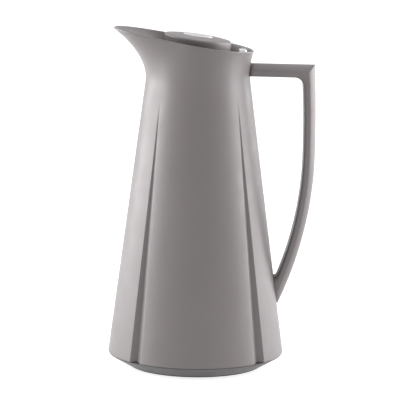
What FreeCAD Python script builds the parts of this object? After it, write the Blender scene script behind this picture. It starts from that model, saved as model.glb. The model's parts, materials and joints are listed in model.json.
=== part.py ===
"""Pouring vacuum jug: a tapering thermal jug with a spout, a lever lid and a strap handle.

Millimetres. +Z is up, the handle is at +X and the spout at -X.
The origin is on the jug's axis, in the plane that the foot ring stands on.
"""

import FreeCAD, Part
import math
import os
import re
import Sketcher

# ---------------------------------------------------------------- driving dimensions
# alias: (value, what it is)
DIMENSIONS = {
    # casing: a straight cone from the base ring up to the waist
    "base_z": (11.2, "height of the joint between casing and base ring"),
    "base_radius": (75.6, "casing radius at that joint, the widest place"),
    "waist_z": (248.0, "height of the waist, where the cone ends"),
    "waist_radius": (44.5, "casing radius at the waist"),
    "wall": (2.2, "casing wall"),
    "lip_wall": (1.7, "casing wall at the pouring lip"),
    # four V notches run up the diagonals and fade out
    "notch_foot_radius": (69.9, "radius of the notch floor at base_z"),
    "notch_end_z": (235.0, "height at which the notch has faded out"),
    # mouth and pouring lip
    "spout_reach": (71.8, "distance of the spout's tip from the axis"),
    "spout_z": (291.0, "height of the spout's tip"),
    "spout_spread": (1.3, "how quickly the flare fades round the mouth"),
    "heel_radius": (47.4, "radius of the mouth's rear edge"),
    "heel_z": (272.0, "height of the mouth's rear edge"),
    "rim_sag": (0.3, "how far the rim line dips below straight"),
    # handle: a flat arm and a long strap
    "strap_width": (20.0, "handle width, across the jug"),
    "arm_top_z": (261.8, "top of the arm at the casing"),
    "arm_under_z": (251.1, "underside of the arm at the casing"),
    "corner_x": (99.9, "sharp outer corner of the handle"),
    "corner_z": (260.8, "height of that corner"),
    "grip_x": (100.9, "outer edge where the grip starts to curve in"),
    "grip_z": (172.5, "height of that place"),
    "grip_inner_x": (90.7, "inner edge where the grip starts to curve in"),
    "grip_inner_z": (181.0, "height of that place"),
    "strap_end_x": (71.0, "outer edge where the strap meets the casing"),
    "strap_end_z": (54.0, "height of that place"),
    "crotch_x": (69.3, "inner edge where the strap meets the casing"),
    "crotch_z": (78.0, "height of that place"),
    "corner_bow": (1063.0, "radius of the outer edge above the grip"),
    "strap_bow": (326.0, "radius of the outer edge below it"),
    "inner_bow": (790.0, "radius of the inner edge above the grip"),
    "inner_strap_bow": (291.0, "radius of the inner edge below it"),
    "arm_fillet": (7.8, "fillet between the arm and the strap"),
    "crown": (4.5, "rounding of the handle's outer edges"),
    "tenon_half": (4.0, "half width of the tenon on the arm"),
    "tenon_rebate": (2.0, "tenon below and above the arm's faces"),
    "fit_gap": (0.1, "clearance of a fixed joint"),
    "handle_screw_z": (70.0, "height of the handle's screws"),
    "handle_screw_y": (5.0, "distance of those screws from the mid plane"),
    "screw_radius": (1.4, "those screws' shank"),
    "screw_head_radius": (2.8, "their heads"),
    "washer_radius": (3.8, "their washers"),
    "washer_thickness": (0.9, "thickness of the washers"),
    # vacuum bottle, about one litre
    "bottle_centre_z": (74.0, "centre of the bottle's round bottom"),
    "bottle_radius": (46.0, "inside radius of the inner bottle"),
    "bottle_neck_radius": (23.5, "inside radius of its neck"),
    "bottle_shoulder_z": (142.0, "top of its straight part"),
    "bottle_neck_z": (206.0, "foot of its neck"),
    "bottle_lip_z": (236.0, "top of its neck"),
    "glass": (1.6, "glass thickness"),
    "vacuum": (2.4, "gap between the two bottles at the belly"),
    "neck_vacuum": (1.8, "gap between the two necks"),
    "shoulder_round": (34.0, "rounding of the bottle's shoulder"),
    "neck_round": (14.0, "rounding at the foot of its neck"),
    "tip_radius": (1.2, "sealed-off tip of the bottle, at its end"),
    "tip_root_radius": (4.0, "the tip where it meets the bottle"),
    "tip_length": (7.0, "length of the tip"),
    "pad_radius": (4.0, "spacer pads between the bottles"),
    "pad_rise": (20.0, "height of the pads above bottle_centre_z"),
    # base
    "foot_inner_radius": (49.5, "foot ring, inside"),
    "foot_outer_radius": (57.5, "foot ring, outside"),
    "base_cap_radius": (38.2, "base cap, outside its thread"),
    "foot_height": (2.6, "height of the foot ring"),
    "base_under_z": (1.0, "underside of the base ring"),
    "base_plate_z": (7.7, "top of its flat plate"),
    "base_spigot_height": (8.0, "its spigot inside the casing"),
    "base_gap": (0.3, "clearance round the base cap"),
    "cap_under_z": (1.6, "underside of the base cap"),
    "cap_floor_z": (4.0, "top of its thin middle"),
    "cap_rim_z": (7.0, "top of its outer edge"),
    "cap_top_z": (12.0, "top of its raised ring, under the cushion"),
    "cap_ring_inner": (11.0, "raised ring, inside"),
    "cap_ring_outer": (33.0, "raised ring, outside"),
    "cushion_inner": (12.0, "cushion under the bottle, inside"),
    "cushion_outer": (31.0, "cushion, outside"),
    # stopper and lid
    "bore_radius": (27.2, "bore of the neck collar"),
    "collar_foot_z": (239.7, "underside of the collar, on its gasket"),
    "collar_skirt_z": (230.0, "foot of the collar's skirt round the bottle"),
    "collar_skirt_radius": (31.3, "inside of that skirt"),
    "collar_skirt_wall": (2.3, "wall of that skirt"),
    "collar_edge_z": (253.0, "top edge of the collar's funnel"),
    "gasket_inner": (24.0, "gasket on the bottle's lip, inside"),
    "gasket_outer": (31.0, "that gasket, outside"),
    "stopper_radius": (26.6, "stopper body"),
    "stopper_wall": (2.2, "stopper wall"),
    "stopper_top_z": (269.0, "top of the stopper body"),
    "nose_radius": (22.3, "stopper nose, inside the bottle's neck"),
    "nose_z": (228.0, "underside of the nose"),
    "seat_z": (230.4, "valve seat"),
    "seat_radius": (8.0, "hole in the valve seat"),
    "nose_top_z": (240.2, "top of the nose, where the body starts"),
    "stopper_floor_z": (243.0, "floor inside the stopper"),
    "port_z": (249.0, "foot of the pouring port"),
    "port_height": (9.5, "height of the port"),
    "port_width": (18.0, "width of the port"),
    "boss_x": (-5.0, "bosses for the bridge's screws"),
    "boss_y": (20.2, "distance of the bosses from the mid plane"),
    "boss_radius": (3.2, "those bosses"),
    "bridge_screw_radius": (1.2, "bridge screws' shank"),
    "bridge_head_radius": (2.4, "their heads"),
    "seal_foot_z": (231.0, "foot of the nose seal"),
    "seal_pitch": (2.0, "from one rib of the seal to the next"),
    "seal_rib": (0.9, "how far the seal's ribs stand out"),
    "seal_skin": (0.5, "thickness of the seal between them"),
    "lid_foot_radius": (27.2, "lid radius at its foot"),
    "lid_radius": (29.4, "lid radius at the height lid_flare_z"),
    "lid_flare_z": (290.0, "height at which the flaring lid wall is measured"),
    "lid_tilt": (7.6, "slope of the lid's top, degrees"),
    "lid_centre_z": (286.0, "lid top on the axis"),
    "lid_dome_radius": (183.0, "radius of the lid's shallow dome"),
    "lid_wall": (2.2, "lid wall"),
    "lid_edge": (1.4, "rounding of the lid's top edge"),
    "spigot_radius": (22.2, "inside of the lid's spigot"),
    "spigot_foot_z": (265.0, "foot of the spigot"),
    "badge_radius": (13.0, "polished disc on the lid"),
    "badge_depth": (1.0, "how deep the disc is let in"),
    "badge_dish": (95.0, "radius of the disc's dished face"),
    "badge_sink": (0.45, "depth of the dish at its middle"),
    # pouring lever and valve
    "pivot_x": (15.0, "lever pivot"),
    "pivot_z": (264.4, "height of the pivot"),
    "pin_radius": (1.5, "pivot pin"),
    "ear_inner": (6.5, "inner face of the pivot ears, from the mid plane"),
    "ear_thickness": (2.6, "thickness of an ear"),
    "ear_length": (7.0, "length of an ear"),
    "boss_of_lever": (2.8, "radius of the lever's pivot boss"),
    "running_gap": (0.06, "radial clearance of a running fit"),
    "lever_thickness": (3.2, "lever arm"),
    "lever_front_width": (12.0, "lever width at the fork"),
    "lever_rear_width": (8.0, "lever width at the thumb button"),
    "lever_reach": (42.0, "rear end of the lever"),
    "button_length": (8.5, "thumb button, along X"),
    "button_top_z": (274.3, "top of the thumb button"),
    "button_round": (3.4, "rounding of the thumb button's top"),
    "bridge_z": (259.2, "underside of the valve bridge"),
    "bridge_thickness": (2.0, "valve bridge plate"),
    "stem_radius": (2.5, "valve stem"),
    "stem_head_radius": (5.5, "head of the valve stem"),
    "plug_radius": (11.0, "valve plug"),
    "plug_z": (232.2, "underside of the valve plug"),
    "plug_top_z": (235.5, "top of the valve plug"),
    "spring_radius": (6.4, "mean radius of the valve spring"),
    "spring_wire": (0.5, "radius of its wire"),
    "spring_turns": (8.0, "turns of the spring"),
}

SHEET = "dims"
MOUTH_STEPS = 9
MOUTH_UNDERLAP = 2.0
MOUTH_OVERLAP = 3.0
MOUTH_STEP_IN = 0.05
SECTION_POINTS = 40
NOTCH_ANGLES = (0, 90, 180, 270)

doc = FreeCAD.newDocument("vacuum_jug")
sheet = doc.addObject("Spreadsheet::Sheet", SHEET)
for row, (alias, (size, meaning)) in enumerate(DIMENSIONS.items(), start=1):
    sheet.set(f"A{row}", meaning)
    sheet.set(f"B{row}", str(size))
    sheet.setAlias(f"B{row}", alias)
doc.recompute()


# ---------------------------------------------------------------- helpers
def bound(text):
    """The expression with the sheet's name put before each alias."""
    def prefix(match):
        word = match.group(0)
        return f"{SHEET}.{word}" if word in DIMENSIONS else word
    return re.sub(r"[a-z_]+", prefix, str(text))


def value(text):
    """The expression's number now."""
    return float(sheet.evalExpression(bound(text)))


def bind(item, **properties):
    """Bind properties of an object to expressions of the sheet's aliases."""
    for name, text in properties.items():
        item.setExpression(name.replace("__", "."), bound(text))


def origin_plane(body, role):
    """One of the body's own origin planes."""
    return next(item for item in body.Origin.OriginFeatures if item.Role == role)


def arc_between(start, end, radius):
    """An arc, drawn anticlockwise, and which of its ends is the start and which the end.

    It bulges to the right of the line from start to end if the radius is positive.
    """
    chord = end - start
    leftwards = FreeCAD.Vector(-chord.y, chord.x, 0).normalize() * math.copysign(1, radius)
    depth = math.sqrt(radius * radius - chord.Length ** 2 / 4)
    centre = start + chord * 0.5 + leftwards * depth
    circle = Part.Circle(centre, FreeCAD.Vector(0, 0, 1), abs(radius))
    first = math.atan2(start.y - centre.y, start.x - centre.x)
    last = math.atan2(end.y - centre.y, end.x - centre.x)
    if radius > 0:
        return Part.ArcOfCircle(circle, first, last), (1, 2)
    return Part.ArcOfCircle(circle, last, first), (2, 1)


def pin_vertex(sketch, edge, vertex, axis, text):
    """Hold one coordinate of a vertex at an expression; zero puts it on the sketch's axis."""
    if abs(value(text)) < 1e-9:
        line = -2 if axis == "X" else -1
        sketch.addConstraint(Sketcher.Constraint("PointOnObject", edge, vertex, line))
        return
    kind = "Distance" + axis
    number = sketch.addConstraint(Sketcher.Constraint(kind, -1, 1, edge, vertex, value(text)))
    sketch.setExpression(f"Constraints[{number}]", bound(text))


def outline_sketch(body, plane, outline):
    """A closed outline: (x, y) ends a straight edge, (x, y, radius) ends an arc."""
    sketch = body.newObject("Sketcher::SketchObject", body.Name + "_outline")
    sketch.AttachmentSupport = (origin_plane(body, plane), [""])
    sketch.MapMode = "FlatFace"
    corners = [FreeCAD.Vector(value(point[0]), value(point[1]), 0) for point in outline]
    ends = []
    for index, corner in enumerate(corners):
        following = (index + 1) % len(corners)
        target = outline[following]
        if len(target) == 2:
            sketch.addGeometry(Part.LineSegment(corner, corners[following]))
            ends.append((1, 2))
            continue
        arc, arc_ends = arc_between(corner, corners[following], value(target[2]))
        sketch.addGeometry(arc)
        ends.append(arc_ends)
    for index, point in enumerate(outline):
        before = index - 1 if index else len(outline) - 1
        joint = (before, ends[before][1], index, ends[index][0])
        sketch.addConstraint(Sketcher.Constraint("Coincident", *joint))
        pin_vertex(sketch, index, ends[index][0], "X", point[0])
        pin_vertex(sketch, index, ends[index][0], "Y", point[1])
        if len(point) == 3:
            radius = f"abs({point[2]})"
            number = sketch.addConstraint(Sketcher.Constraint("Radius", before, value(radius)))
            sketch.setExpression(f"Constraints[{number}]", bound(radius))
    return sketch


def turned(name, outline):
    """A body turned about the jug's axis from a half outline of (radius, height)."""
    body = doc.addObject("PartDesign::Body", name)
    sketch = outline_sketch(body, "XZ_Plane", outline)
    turn = body.newObject("PartDesign::Revolution", name + "_turn")
    turn.Profile = sketch
    turn.ReferenceAxis = (sketch, ["V_Axis"])
    turn.Angle = 360
    doc.recompute()
    return body


def plate(name, outline, width):
    """A body padded from an outline in the mid plane (x, z), to half its width each way."""
    body = doc.addObject("PartDesign::Body", name)
    sketch = outline_sketch(body, "XZ_Plane", outline)
    pad = body.newObject("PartDesign::Pad", name + "_pad")
    pad.Profile = sketch
    pad.SideType = "Symmetric"
    bind(pad, Length=width)
    doc.recompute()
    return body


def cylinder(name, radius, height, place=(0, 0, 0), turn=None):
    """A Part cylinder; place is three expressions, turn an (axis, degrees) pair."""
    item = doc.addObject("Part::Cylinder", name)
    bind(item, Radius=radius, Height=height)
    return placed(item, place, turn)


def box(name, corner, size):
    """A Part box from its low corner and its size, all expressions."""
    item = doc.addObject("Part::Box", name)
    bind(item, Length=size[0], Width=size[1], Height=size[2])
    return placed(item, corner)


def placed(item, place, turn=None):
    """Put an object at a place given by three expressions, turned about an axis."""
    if turn:
        axis, degrees = turn
        item.Placement.Rotation = FreeCAD.Rotation(FreeCAD.Vector(*axis), degrees)
    bind(item, Placement__Base__x=place[0], Placement__Base__y=place[1], Placement__Base__z=place[2])
    return item


def joined(name, shapes):
    """The union of several objects."""
    item = doc.addObject("Part::MultiFuse", name)
    item.Shapes = shapes
    return item


def cut(name, base, *tools):
    """The base with the tools taken away."""
    item = doc.addObject("Part::Cut", name)
    item.Base = base
    item.Tool = tools[0] if len(tools) == 1 else joined(name + "_tools", list(tools))
    return item


def common(name, first, second):
    """What two objects share."""
    item = doc.addObject("Part::Common", name)
    item.Base = first
    item.Tool = second
    return item


def rounded(name, base, radius, chosen):
    """The base with a fillet on each edge that the test picks."""
    doc.recompute()
    item = doc.addObject("Part::Fillet", name)
    item.Base = base
    picked = [number for number, edge in enumerate(base.Shape.Edges, start=1) if chosen(edge)]
    item.Edges = [(number, value(radius), value(radius)) for number in picked]
    return item


NODES = {}


def node(name, item):
    """Name an object as one of the jug's pieces; the name is its file's name too."""
    item.Label = name
    NODES[name] = item
    return item


# ---------------------------------------------------------------- casing
CONE_FALL = "(base_radius - waist_radius) / (waist_z - base_z)"
BELOW = 1.0
TOP_OF_TOOLS = 320.0


def casing_cone(name, inset, foot_z):
    """The casing's cone, made smaller by an inset and starting at foot_z."""
    item = doc.addObject("Part::Cone", name)
    foot = f"base_radius + ({CONE_FALL}) * (base_z - ({foot_z})) - {inset}"
    bind(item, Radius1=foot, Radius2=f"waist_radius - {inset}", Height=f"waist_z - ({foot_z})")
    return placed(item, (0, 0, foot_z))


def mouth_section(height, inset):
    """The mouth's outline at one height: a circle that flares at the spout and at the heel."""
    flat_radius = value("waist_radius") - MOUTH_STEP_IN
    climb = max(0.0, height - value("waist_z"))
    spout_climb = value("spout_z - waist_z")
    heel_climb = value("heel_z - waist_z")
    spout = (value("spout_reach") - flat_radius) * (climb / spout_climb) ** 2
    heel = (value("heel_radius") - flat_radius) * (climb / heel_climb) ** 3
    points = []
    for step in range(SECTION_POINTS):
        angle = 2 * math.pi * step / SECTION_POINTS
        from_spout = abs(math.pi - angle) * value("spout_spread")
        radius = flat_radius - inset
        if from_spout < math.pi / 2:
            radius += spout * math.cos(from_spout) ** 2
        if math.cos(angle) > 0:
            radius += heel * math.cos(angle) ** 2
        points.append(FreeCAD.Vector(radius * math.cos(angle), radius * math.sin(angle), height))
    curve = Part.BSplineCurve()
    curve.interpolate(Points=points, PeriodicFlag=True)
    return Part.Wire(curve.toShape())


def mouth_form(name, inset, lip_inset):
    """The flaring mouth as a solid loft of its sections, taller than the rim."""
    low = value("waist_z") - MOUTH_UNDERLAP
    high = value("spout_z") + MOUTH_OVERLAP
    sections = []
    for step in range(MOUTH_STEPS + 1):
        height = low + (high - low) * step / MOUTH_STEPS
        inset_here = inset + (lip_inset - inset) * step / MOUTH_STEPS
        sections.append(mouth_section(height, inset_here))
    item = doc.addObject("Part::Feature", name)
    item.Shape = Part.makeLoft(sections, True)
    return item


def notch_wedge(name, offset, quarter):
    """A square corner that leans inwards with height: what a V notch takes away."""
    floor_foot = f"(notch_foot_radius - {offset}) / sqrt(2)"
    end_radius = f"base_radius - ({CONE_FALL}) * (notch_end_z - base_z)"
    floor_end = f"(({end_radius}) - {offset}) / sqrt(2)"
    outside = "base_radius"
    wedge = doc.addObject("Part::Wedge", name)
    bind(wedge, Xmin=floor_foot, Xmax=outside, X2min=floor_end, X2max=outside)
    bind(wedge, Zmin=f"-({outside})", Zmax=f"-({floor_foot})")
    bind(wedge, Z2min=f"-({outside})", Z2max=f"-({floor_end})")
    bind(wedge, Ymin=0, Ymax="notch_end_z - base_z")
    upright = FreeCAD.Rotation(FreeCAD.Vector(1, 0, 0), 90)
    quarter_turn = FreeCAD.Rotation(FreeCAD.Vector(0, 0, 1), quarter)
    wedge.Placement.Rotation = quarter_turn * upright
    return placed(wedge, (0, 0, "base_z"))


def rim_cutter():
    """Everything above the rim line, which sags a little between spout and heel."""
    margin = 30
    run = "(spout_reach + heel_radius)"
    bow = f"({run} * {run} / (8 * rim_sag))"
    slope_lift = f"(spout_z - heel_z) / {run} * {margin}"
    bow_lift = f"{margin} * ({run} + {margin}) / (2 * {bow})"
    spout_x = f"-spout_reach - {margin}"
    heel_x = f"heel_radius + {margin}"
    outline = [
        (spout_x, f"spout_z + {slope_lift} + {bow_lift}"),
        (heel_x, f"heel_z - {slope_lift} + {bow_lift}", bow),
        (heel_x, TOP_OF_TOOLS),
        (spout_x, TOP_OF_TOOLS),
    ]
    return plate("rim_cutter", outline, "4 * spout_reach")


def make_body_shell():
    """Casing: cone and mouth in one moulding, with four V notches and ribs behind them."""
    outside = joined("casing_outside", [
        casing_cone("casing_cone", 0, "base_z"),
        mouth_form("mouth_outside", 0, 0),
    ])
    ribs = [notch_wedge(f"rib_{turn}", "wall * sqrt(2)", turn) for turn in NOTCH_ANGLES]
    room = cut("casing_room", casing_cone("casing_core", "wall", f"base_z - {BELOW}"), *ribs)
    core = joined("casing_inside", [
        room,
        mouth_form("mouth_inside", value("wall"), value("lip_wall")),
    ])
    notches = [notch_wedge(f"notch_{turn}", "0", turn) for turn in NOTCH_ANGLES]
    tenon_slot = box(
        "tenon_slot",
        ("waist_radius - 6", "-tenon_half - fit_gap", "arm_under_z + tenon_rebate - fit_gap"),
        (12, "2 * (tenon_half + fit_gap)",
         "arm_top_z - arm_under_z - 2 * (tenon_rebate - fit_gap)"),
    )
    screw_holes = [
        cylinder(
            f"casing_screw_hole_{side}", "screw_radius + 0.4", 14,
            ("base_radius - 18", f"{side} * handle_screw_y", "handle_screw_z"),
            ((0, 1, 0), 90),
        )
        for side in (-1, 1)
    ]
    trimmed = cut("casing_trimmed", outside, rim_cutter())
    hollow = cut("casing_hollow", trimmed, core)
    notched = cut("casing_notched", hollow, *notches)
    return node("body_shell", cut("casing", notched, tenon_slot, *screw_holes))


# ---------------------------------------------------------------- handle
def make_handle():
    """Strap handle: a flat arm with a tenon, a sharp corner and a long curved grip."""
    outline = [
        ("waist_radius - 1", "arm_top_z"),
        ("corner_x", "corner_z"),
        ("grip_x", "grip_z", "-corner_bow"),
        ("strap_end_x", "strap_end_z", "-strap_bow"),
        ("crotch_x - 8", "strap_end_z"),
        ("crotch_x - 8", "crotch_z"),
        ("crotch_x", "crotch_z"),
        ("grip_inner_x", "grip_inner_z", "inner_strap_bow"),
        ("grip_inner_x - 0.8", "arm_under_z - 8.5", "inner_bow"),
        ("grip_inner_x - 8.5", "arm_under_z - 0.8", "arm_fillet"),
        ("waist_radius - 1", "arm_under_z"),
    ]
    blank = plate("handle_blank", outline, "strap_width")
    outer_edge_limit = value("strap_width") / 2 - 0.01
    grip_start = value("grip_inner_x") + 3

    def on_outer_edge(edge):
        middle = edge.CenterOfMass
        lies_on_side = abs(middle.y) > outer_edge_limit and edge.BoundBox.YLength < 0.01
        along_arm = middle.z > value("corner_z") - 1
        along_grip = edge.BoundBox.XMax > grip_start and middle.z < value("corner_z") - 1
        return lies_on_side and (along_arm or along_grip)

    crowned = rounded("handle_crowned", blank, "crown", on_outer_edge)
    seat = joined("handle_seat", [
        casing_cone("handle_seat_cone", "-fit_gap", "strap_end_z - 34"),
        cylinder("handle_seat_neck", "waist_radius + 1.2", 30, (0, 0, "waist_z - 1")),
    ])
    trimmed = cut("handle_trimmed", crowned, seat)
    tenon = box(
        "tenon",
        ("waist_radius - 1.2", "-tenon_half", "arm_under_z + tenon_rebate"),
        (4, "2 * tenon_half", "arm_top_z - arm_under_z - 2 * tenon_rebate"),
    )
    pilot_holes = [
        cylinder(
            f"pilot_hole_{side}", "screw_radius", 7,
            ("strap_end_x - 4.5", f"{side} * handle_screw_y", "handle_screw_z"),
            ((0, 1, 0), 90),
        )
        for side in (-1, 1)
    ]
    whole = joined("handle_whole", [trimmed, tenon])
    return node("handle", cut("handle_drilled", whole, *pilot_holes))


def make_handle_fasteners():
    """Two screws and washers that hold the strap's foot from inside the casing."""
    head_x = "strap_end_x - 8.9"
    screws = []
    washers = []
    for side in (-1, 1):
        place_y = f"{side} * handle_screw_y"
        along_x = ((0, 1, 0), 90)
        shank = cylinder(
            f"screw_shank_{side}", "screw_radius", 10,
            (f"{head_x} + 1", place_y, "handle_screw_z"), along_x)
        head = cylinder(
            f"screw_head_{side}", "screw_head_radius", 2,
            (f"{head_x} - 1", place_y, "handle_screw_z"), along_x)
        screws.append(joined(f"screw_{side}", [shank, head]))
        disc = cylinder(
            f"washer_disc_{side}", "washer_radius", "washer_thickness",
            (f"{head_x} + 1", place_y, "handle_screw_z"), along_x)
        hole = cylinder(
            f"washer_hole_{side}", "screw_radius + 0.1", 3,
            (head_x, place_y, "handle_screw_z"), along_x)
        washers.append(cut(f"washer_{side}", disc, hole))
    node("handle_screws", joined("screw_pair", screws))
    node("handle_washers", joined("washer_pair", washers))


# ---------------------------------------------------------------- vacuum bottle
def bottle_form(name, growth, neck_growth, top_z):
    """A solid of the bottle's shape, grown outwards from the inside of the inner bottle."""
    belly = f"bottle_radius + {growth}"
    neck = f"bottle_neck_radius + {neck_growth}"
    outline = [
        (0, f"bottle_centre_z - ({belly})"),
        (belly, "bottle_centre_z", belly),
        (belly, "bottle_shoulder_z"),
        (neck, "bottle_neck_z"),
        (neck, top_z),
        (0, top_z),
    ]
    form = turned(name, outline)
    bends = (
        (belly, "bottle_shoulder_z", "shoulder_round"),
        (neck, "bottle_neck_z", "neck_round"),
    )
    for radius, height, size in bends:
        fillet = form.newObject("PartDesign::Fillet", name + "_fillet")
        base = form.Tip if form.Tip.Name != fillet.Name else fillet.BaseFeature
        names = [
            f"Edge{number}" for number, edge in enumerate(base.Shape.Edges, start=1)
            if abs(edge.BoundBox.ZMin - value(height)) < 0.01
            and edge.BoundBox.ZLength < 0.01
            and abs(edge.BoundBox.XMax - value(radius)) < 0.01
        ]
        fillet.Base = (base, names)
        bind(fillet, Radius=size)
        form.Tip = fillet
        doc.recompute()
    return form


def make_vacuum_bottle():
    """Two nested glass bottles joined at the lip, with spacer pads and a sealed-off tip."""
    inner_blank = bottle_form("inner_blank", "glass", "glass", "bottle_lip_z")
    inner_room = bottle_form("inner_room", "0", "0", f"bottle_lip_z + {BELOW}")
    node("liner_inner_bottle", cut("inner_bottle", inner_blank, inner_room))

    outer_blank = bottle_form(
        "outer_blank", "2 * glass + vacuum", "2 * glass + neck_vacuum", "bottle_lip_z")
    vacuum_space = bottle_form(
        "vacuum_space", "glass + vacuum", "glass + neck_vacuum", "bottle_lip_z - glass")
    neck_hole = cylinder(
        "lip_hole", "bottle_neck_radius + glass", 10, (0, 0, "bottle_lip_z - 5"))
    wall = cut("outer_wall", outer_blank, vacuum_space, neck_hole)
    tip = doc.addObject("Part::Cone", "evacuation_tip")
    bind(tip, Radius1="tip_radius", Radius2="tip_root_radius", Height="tip_length")
    tip_z = "bottle_centre_z - bottle_radius - 2 * glass - vacuum + 1 - tip_length"
    placed(tip, (0, 0, tip_z), ((0, 0, 1), 37))
    node("liner_outer_bottle", joined("outer_bottle", [wall, tip]))

    pads = []
    for turn in (30, 150, 270):
        across = f"(bottle_radius + glass + 0.1) * {math.cos(math.radians(turn))}"
        along = f"(bottle_radius + glass + 0.1) * {math.sin(math.radians(turn))}"
        pad = doc.addObject("Part::Cylinder", f"pad_{turn}")
        bind(pad, Radius="pad_radius", Height="vacuum - 0.5")
        lean = FreeCAD.Rotation(FreeCAD.Vector(0, 1, 0), 90)
        pad.Placement.Rotation = FreeCAD.Rotation(FreeCAD.Vector(0, 0, 1), turn) * lean
        pads.append(placed(pad, (across, along, "bottle_centre_z + pad_rise")))
    node("liner_spacers", joined("pads", pads))


def make_base():
    """Base ring with its tucked edge, foot ring, screw-in base cap and bottle cushion."""
    node("base_ring", turned("ring_of_base", [
        ("base_cap_radius + base_gap", "base_under_z"),
        ("foot_inner_radius", "base_under_z"),
        ("foot_inner_radius", "foot_height"),
        ("foot_outer_radius", "foot_height"),
        ("foot_outer_radius", "base_under_z"),
        ("foot_outer_radius + 1.1", "base_under_z"),
        ("base_radius - 0.8", "base_z - 0.8"),
        ("base_radius - 0.2", "base_z"),
        ("notch_foot_radius - 3.4", "base_z"),
        ("notch_foot_radius - 4.7", "base_z + base_spigot_height"),
        ("notch_foot_radius - 7.2", "base_z + base_spigot_height"),
        ("notch_foot_radius - 7.4", "base_plate_z"),
        ("base_cap_radius + base_gap", "base_plate_z"),
    ]))
    foot = turned("ring_of_foot", [
        ("foot_inner_radius", 0),
        ("foot_outer_radius", 0),
        ("foot_outer_radius", "foot_height"),
        ("foot_inner_radius", "foot_height"),
    ])
    node("foot_ring", foot)
    disc = turned("cap_disc", [
        (0, "cap_under_z"),
        ("base_cap_radius", "cap_under_z"),
        ("base_cap_radius", "cap_rim_z"),
        ("cap_ring_outer", "cap_rim_z"),
        ("cap_ring_outer", "cap_top_z"),
        ("cap_ring_inner", "cap_top_z"),
        ("cap_ring_inner", "cap_floor_z"),
        (0, "cap_floor_z"),
    ])
    coin_slot = box("coin_slot", (-14, -1.5, 0), (28, 3, 2.8))
    node("base_cap", cut("cap_of_base", disc, coin_slot))
    node("liner_cushion", turned("cushion", [
        ("cushion_inner", "cap_top_z"),
        ("cushion_outer", "cap_top_z"),
        ("cushion_outer", "cap_top_z + 20.3"),
        ("cushion_inner", "cap_top_z + 11.3", "-(bottle_radius + 2 * glass + vacuum + 0.4)"),
    ]))


# ---------------------------------------------------------------- neck
def make_neck():
    """Collar with the stopper's bore and a funnel floor, and the gasket on the bottle's lip."""
    node("neck_collar", turned("collar", [
        ("bore_radius", "collar_foot_z"),
        ("collar_skirt_radius", "collar_foot_z"),
        ("collar_skirt_radius", "collar_skirt_z"),
        ("collar_skirt_radius + collar_skirt_wall", "collar_skirt_z"),
        ("collar_skirt_radius + collar_skirt_wall", "collar_foot_z + 2.3"),
        ("waist_radius - wall - 0.3", "collar_edge_z - 7"),
        ("waist_radius - wall - 0.3", "collar_edge_z"),
        ("waist_radius - wall - 1.3", "collar_edge_z"),
        ("bore_radius + 1", "collar_edge_z - 5"),
        ("bore_radius", "collar_edge_z - 5.8"),
    ]))
    node("neck_gasket", turned("gasket", [
        ("gasket_inner", "bottle_lip_z"),
        ("gasket_outer", "bottle_lip_z"),
        ("gasket_outer", "collar_foot_z - fit_gap"),
        ("gasket_inner", "collar_foot_z - fit_gap"),
    ]))


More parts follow.
